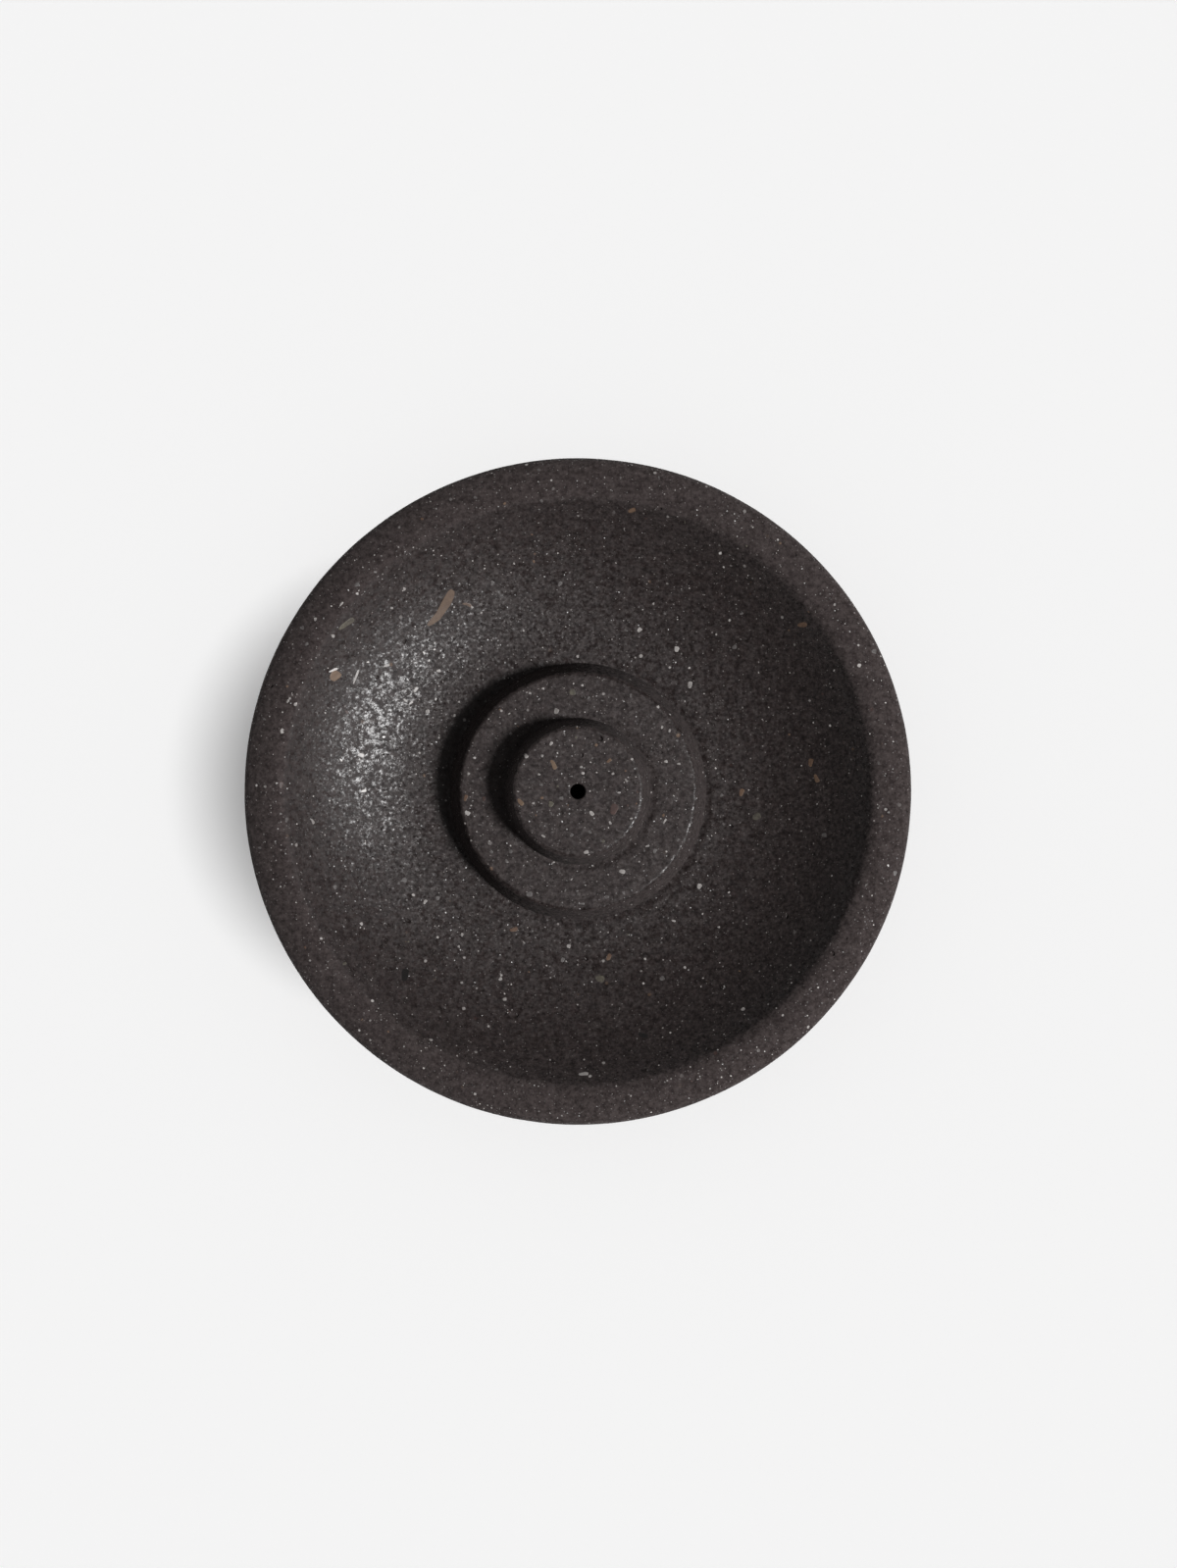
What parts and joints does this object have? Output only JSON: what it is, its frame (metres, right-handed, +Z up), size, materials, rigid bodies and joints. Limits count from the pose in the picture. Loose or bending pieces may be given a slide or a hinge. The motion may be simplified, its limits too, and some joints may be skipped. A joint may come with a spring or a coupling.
{
  "type": "incense stick holder",
  "caption": "Shallow round dish with a domed rim and a stepped centre; a bore in the top step holds an incense stick upright over the bowl that catches its ash.",
  "frame": {"origin": "on the table under the common axis of the dish, the tiers and the stick bore", "axes": "+Z up along that axis, out of the stick bore; X and Y lie in the table's plane, between the pads"},
  "size_m": [0.12, 0.12, 0.0198],
  "materials": {
    "cast_terrazzo": "satin",
    "foot_rubber": "matte"
  },
  "bodies": {
    "dish": {"dish": "cast_terrazzo", "foot_pad_1": "foot_rubber", "foot_pad_2": "foot_rubber", "foot_pad_3": "foot_rubber", "foot_pad_4": "foot_rubber"},
    "lower_tier": {"lower_tier": "cast_terrazzo"},
    "stick_holder": {"stick_holder": "cast_terrazzo"}
  },
  "joints": [
    {"name": "lower_tier_lift", "type": "slide", "parent": "dish", "child": "lower_tier", "axis": [0, 0, 1], "range_m": [0, 0.018]},
    {"name": "stick_holder_lift", "type": "slide", "parent": "lower_tier", "child": "stick_holder", "axis": [0, 0, 1], "range_m": [0, 0.018]}
  ]
}
